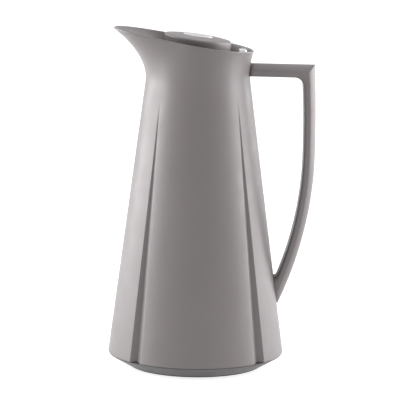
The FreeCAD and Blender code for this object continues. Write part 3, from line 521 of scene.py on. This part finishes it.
def make_handle():
    """The strap handle: a D section swept from the neck, round a mitred corner, to the casing."""
    root_x = WAIST_RADIUS - ROOT_IN_CASING
    bend, arm = 12, 14
    inner = np.concatenate([
        line_points((root_x, ARM_UNDER_Z), INNER_CORNER, arm)[:-1],
        arc_points(INNER_CORNER, INNER_TOP, -INNER_BEND, 2 * bend + 1),
        arc_points(INNER_TOP, INNER_START, -INNER_BOW, 22)[1:],
        arc_points(INNER_START, CROTCH, -INNER_STRAP_BOW, 40)[1:],
        line_points(CROTCH, (66.0, 76.5), 3)[1:],
    ])
    top_at_bend = (88.0, ARM_TOP_Z + (CORNER[1] - ARM_TOP_Z) * MITRE_SHARE)
    outer = np.concatenate([
        line_points((root_x, ARM_TOP_Z), top_at_bend, arm)[:-1],
        line_points(top_at_bend, CORNER, bend + 1),
        line_points(CORNER, OUTER_BEND, bend + 1)[1:],
        arc_points(OUTER_BEND, GRIP_START, -OUTER_BOW, 22)[1:],
        arc_points(GRIP_START, STRAP_END, -OUTER_STRAP_BOW, 40)[1:],
        line_points(STRAP_END, (68.0, 52.0), 3)[1:],
    ])
    half = strap_section()
    section = half + [(-across, through) for across, through in half[-2:0:-1]]
    around = len(section)
    points = []
    for near, far in zip(inner, outer):
        for across, through in section:
            place = near + (far - near) * (through / STRAP_THICK)
            points.append((place[0], across, place[1]))
    handle = make_piece(
        "strap_handle", points, capped_faces(len(inner), around), casing_plastic, "jug",
        stands_for=["handle"])
    face_outwards(handle)
    mitre = arm - 1 + bend
    crease_from = next(i for i, (_, through) in enumerate(half) if through > STRAP_THICK / 2)
    sharpen(handle, [
        (mitre * around + step, mitre * around + (step + 1) % around)
        for step in range(crease_from, around - crease_from)
    ])
    return handle


def sharpen(piece, pairs):
    """Mark the edges between these pairs of points sharp, so shading breaks there."""
    mesh = piece.data
    wanted = {tuple(sorted(pair)) for pair in pairs}
    sharp = mesh.attributes.new("sharp_edge", "BOOLEAN", "EDGE")
    for edge in mesh.edges:
        sharp.data[edge.index].value = tuple(sorted(edge.vertices)) in wanted


# ---------------------------------------------------------------- lid
LID_FOOT_Z = 269.6
LID_FOOT_RADIUS = 27.2
LID_RADIUS = 29.4
LID_FLARE_Z = 290.0
LID_TILT = math.radians(7.6)
LID_CENTRE_Z = 286.0
LID_DOME_RADIUS = 183.0
LID_EDGE = 1.5
LID_SKIN = 3.0
LID_ROOM_RADIUS = 25.0
LID_FOOT_WALL = 4.5
BADGE_RADIUS = 13.0
BADGE_DEPTH = 1.0
BADGE_SINK = 0.46
LID_AXIS = np.array([math.sin(LID_TILT), 0, math.cos(LID_TILT)])
LID_TOP = np.array([0, 0, LID_CENTRE_Z])
DOME_CENTRE = LID_TOP - LID_AXIS * LID_DOME_RADIUS


def lid_wall_radius(height):
    """The lid's wall, which leans outwards."""
    share = (height - LID_FOOT_Z) / (LID_FLARE_Z - LID_FOOT_Z)
    return LID_FOOT_RADIUS + (LID_RADIUS - LID_FOOT_RADIUS) * share


def dome_height(x, y):
    """Height of the lid's dome above a place."""
    away = (x - DOME_CENTRE[0]) ** 2 + y ** 2
    return DOME_CENTRE[2] + math.sqrt(LID_DOME_RADIUS ** 2 - away)


def tilted_circle(radius, depth, angle):
    """A point of a circle square to the lid's axis, this deep below the dome's top."""
    side = np.array([math.cos(LID_TILT), 0, -math.sin(LID_TILT)])
    across = side * math.cos(angle) + np.array([0, 1, 0]) * math.sin(angle)
    return LID_TOP - LID_AXIS * depth + across * radius


def on_dome(point):
    """The point moved on to the dome along its radius."""
    direction = point - DOME_CENTRE
    return DOME_CENTRE + direction / np.linalg.norm(direction) * LID_DOME_RADIUS


def make_lid_cap():
    """Lid cap: hollow underside, leaning wall, rounded edge, shallow dome, recess for the disc."""
    around = 160
    columns = []
    for angle in np.linspace(0, 2 * math.pi, around, endpoint=False):
        flat = np.array([math.cos(angle), math.sin(angle)])
        height = LID_CENTRE_Z
        for _ in range(20):
            height = dome_height(*(flat * lid_wall_radius(height)))
        corner = np.array([*(flat * lid_wall_radius(height)), height])
        foot = np.array([*(flat * lid_wall_radius(LID_FOOT_Z)), LID_FOOT_Z])
        wall_dir = (foot - corner) / np.linalg.norm(foot - corner)
        inner = on_dome(np.array([*(flat * (lid_wall_radius(height) - LID_EDGE)), height]))
        column = [
            on_dome(np.array([*(flat * radius), LID_CENTRE_Z])) - LID_AXIS * LID_SKIN
            for radius in (1.5, 8, 16, LID_ROOM_RADIUS)
        ]
        room_foot = (LID_FOOT_RADIUS - LID_FOOT_WALL) / LID_FOOT_RADIUS
        column.append(foot * np.array([room_foot, room_foot, 1]))
        column.append(foot * np.array([0.985, 0.985, 1]))
        wall_end = corner + wall_dir * LID_EDGE
        for share in np.linspace(0.04, 1, 8):
            column.append(foot + (wall_end - foot) * share)
        for share in np.linspace(0, 1, 8)[1:]:
            column.append(rounded_corner(wall_end, corner, inner, share))
        recess = tilted_circle(BADGE_RADIUS + 0.35, 0, angle)
        for share in np.linspace(0, 1, 10)[1:]:
            column.append(on_dome(inner + (recess - inner) * share))
        recess_floor = BADGE_DEPTH + 0.2
        for gap, depth in ((0.15, 0.25 + BADGE_SINK), (0.12, recess_floor), (-1.5, recess_floor)):
            column.append(tilted_circle(BADGE_RADIUS + gap, depth, angle))
        columns.append(column)
    rings = len(columns[0])
    points = [columns[step][ring] for ring in range(rings) for step in range(around)]
    lid = make_piece(
        "lid", points, capped_faces(rings, around), casing_plastic, "stopper",
        stands_for=["lid_cap"])
    return face_outwards(lid)


def make_badge():
    """Plain polished disc, slightly dished, with fine rings and a raised rim."""
    profile = [
        (0.0, -0.62), (4.2, -0.57), (4.6, -0.40), (5.4, -0.38), (5.8, -0.54), (9.0, -0.38),
        (9.4, -0.20), (10.2, -0.16), (10.6, -0.28), (11.6, -0.20), (12.0, 0.04),
        (12.4, 0.12), (12.75, 0.08), (12.95, -0.05), (13.0, -0.3), (13.0, -1.1), (0.0, -1.1),
    ]
    around = 128
    points = []
    for radius, rise in profile:
        radius = max(radius, 0.02)
        for angle in np.linspace(0, 2 * math.pi, around, endpoint=False):
            points.append(tilted_circle(radius, BADGE_SINK - rise, angle))
    badge = make_piece(
        "badge_disc", points, capped_faces(len(profile), around), polished_steel, "stopper",
        stands_for=["lid_badge"])
    return face_outwards(badge)


def make_thumb_button():
    """Small polished thumb button with a rounded top and three grip ribs."""
    low, high = box_mm("thumb_button")
    centre = (low + high) / 2
    half = (high - low) / 2
    rings = 20
    around = 48
    points = []
    for ring in range(rings + 1):
        turn = math.pi / 2 * ring / rings
        rise = math.sin(turn)
        shrink = math.cos(turn) ** 0.45 if ring < rings else 0.02
        for step in range(around):
            angle = 2 * math.pi * step / around
            x = math.copysign(abs(math.cos(angle)) ** 0.5, math.cos(angle)) * shrink
            y = math.copysign(abs(math.sin(angle)) ** 0.5, math.sin(angle)) * shrink
            rib = 0.16 * math.cos(3 * math.pi * x) * rise ** 2
            height = low[2] + (high[2] - low[2] - 0.2) * rise ** 0.8 + rib
            points.append((centre[0] + half[0] * x, centre[1] + half[1] * y, height))
    button = make_piece(
        "thumb_button_cap", points, capped_faces(rings + 1, around), polished_steel, "lever",
        stands_for=["thumb_button"])
    return face_outwards(button)


# ---------------------------------------------------------------- base
PLATE_BORE = 38.5
PLATE_UNDER_Z = 1.0
PLATE_Z = 7.7
FOOT_GROOVE = (49.4, 57.6, 2.5)
TUCK_RADIUS = 58.6
SPIGOT_Z = 19.2
FOOT_TREAD_BORE = 49.6
FOOT_CLEARANCE = 0.1


def make_base():
    """Base ring with its tucked edge, and the dark foot ring that the jug stands on."""
    groove_in, groove_out, groove_z = FOOT_GROOVE
    # The tucked base uses the darkened base plastic, whose colour is painted shade on its
    # underside.
    lathe(
        "tucked_base",
        [
            (PLATE_BORE, PLATE_UNDER_Z),
            (groove_in, PLATE_UNDER_Z), (groove_in, groove_z),
            (groove_out, groove_z), (groove_out, PLATE_UNDER_Z),
            (TUCK_RADIUS, PLATE_UNDER_Z),
            (BASE_RADIUS - 0.8, BASE_Z - 0.9), (BASE_RADIUS - 0.35, BASE_Z - 0.05),
            (66.5, BASE_Z - 0.05), (65.2, SPIGOT_Z), (62.7, SPIGOT_Z), (62.5, PLATE_Z),
            (PLATE_BORE, PLATE_Z),
        ],
        0.6, base_plastic, "jug", around=256, stands_for=["base_ring"])
    high = box_mm("foot_ring")[1]
    rim, top = high[0] - FOOT_CLEARANCE, high[2] - FOOT_CLEARANCE
    lathe(
        "foot_tread",
        [(FOOT_TREAD_BORE, 0.0), (rim, 0.0), (rim, top), (FOOT_TREAD_BORE, top)],
        0.5, black_rubber, "jug", stands_for=["foot_ring"])


# ---------------------------------------------------------------- carried-over CAD nodes
NODE_MATERIALS = {
    "inner_plastic": inner_plastic,
    "base_plastic": base_plastic,
    "casing": casing_plastic,
    "silicone": clear_silicone,
    "rubber": black_rubber,
    "steel": plain_steel,
    "polished": polished_steel,
    "liner_glass": silver_glass,
}


def dress_nodes():
    """Give each CAD node the finish of its slot."""
    for part in frame["record"]["subparts"]:
        node = frame["nodes"][part["node"]]
        material = NODE_MATERIALS[part["material_slot"]]
        node.data.materials.clear()
        node.data.materials.append(material)


# ---------------------------------------------------------------- studio
LIGHT_DISTANCE = 1.3
LIGHT_HEIGHT = 0.40
LIGHT_AIM = (0, 0, 0.14)
SIDE_LIGHTS = (
    # kind, place along y, size, watts on the left and on the right
    ("softbox", 0.40, (1.4, 1.5), 40, 36),
    ("strip", -0.24, (0.3, 1.5), 12, 11),
)


def plain_material(name, colour, glow=0.0):
    """Backdrop material: diffuse paper with a little of its own light."""
    material, nodes, links, shader = new_material(name)
    place = nodes.new("ShaderNodeTexCoord").outputs["Object"]
    grain = noise(nodes, links, place, 3.0, 2.0)
    darker = tuple(c * 0.995 for c in colour)
    links.new(ramp(nodes, links, grain, darker, colour), shader.inputs["Base Color"])
    shader.inputs["Roughness"].default_value = 0.9
    shader.inputs["Specular IOR Level"].default_value = 0.0
    shader.inputs["Emission Color"].default_value = (1, 1, 1, 1)
    shader.inputs["Emission Strength"].default_value = glow
    return material


def make_floor():
    """A wide pale floor in the plane of the foot ring's underside."""
    bpy.ops.mesh.primitive_plane_add(size=40, location=(0, 0, 0))
    floor = bpy.context.object
    floor.name = "studio_floor"
    floor.data.materials.append(plain_material("studio_paper", (0.45, 0.45, 0.45), 0.75))


def softbox(name, place, target, size, power):
    """A rectangular soft light aimed at a point."""
    data = bpy.data.lights.new(name, "AREA")
    data.shape = "RECTANGLE"
    data.size, data.size_y = size
    data.energy = power
    lamp = bpy.data.objects.new(name, data)
    bpy.context.scene.collection.objects.link(lamp)
    lamp.location = place
    lamp.rotation_euler = (Vector(target) - Vector(place)).to_track_quat("-Z", "Y").to_euler()
    return lamp


def make_studio():
    """White surroundings, a softbox and a narrow light on each side, and a weak one overhead."""
    world = bpy.data.worlds.new("studio_world")
    world.use_nodes = True
    background = world.node_tree.nodes["Background"]
    background.inputs["Color"].default_value = (1, 1, 1, 1)
    background.inputs["Strength"].default_value = 1.0
    bpy.context.scene.world = world
    for kind, y, size, left_power, right_power in SIDE_LIGHTS:
        for side, sign, power in (("left", -1, left_power), ("right", 1, right_power)):
            place = (sign * LIGHT_DISTANCE, y, LIGHT_HEIGHT)
            softbox(f"{kind}_{side}", place, LIGHT_AIM, size, power)
    softbox("softbox_top", (0, 0.3, 1.9), LIGHT_AIM, (1.4, 1.4), 4)
    bpy.context.scene.view_settings.view_transform = "Standard"


CAMERA_DISTANCE = 2.400
CAMERA_HEIGHT = 0.5322
CAMERA_AZIMUTH = math.radians(-1.8)
CAMERA_PITCH = math.radians(9.208)
CAMERA_ROLL = math.radians(0.551)
LENS = 254.5
LENS_SHIFT = 0.0080
SENSOR_WIDTH = 36


def make_camera():
    """A long lens in front of the jug, a little above it, looking slightly down."""
    data = bpy.data.cameras.new("camera")
    data.sensor_width = SENSOR_WIDTH
    data.lens = LENS
    data.shift_x = LENS_SHIFT
    camera = bpy.data.objects.new("camera", data)
    bpy.context.scene.collection.objects.link(camera)
    turn = Matrix.Rotation(CAMERA_AZIMUTH, 4, "Z")
    tilt = Matrix.Rotation(math.pi / 2 - CAMERA_PITCH, 4, "X")
    roll = Matrix.Rotation(CAMERA_ROLL, 4, "Z")
    place = Matrix.Translation((
        CAMERA_DISTANCE * math.sin(CAMERA_AZIMUTH),
        -CAMERA_DISTANCE * math.cos(CAMERA_AZIMUTH),
        CAMERA_HEIGHT,
    ))
    camera.matrix_world = place @ turn @ tilt @ roll
    bpy.context.scene.camera = camera


dress_nodes()
make_casing()
make_handle()
make_lid_cap()
make_badge()
make_thumb_button()
make_base()
make_floor()
make_studio()
make_camera()
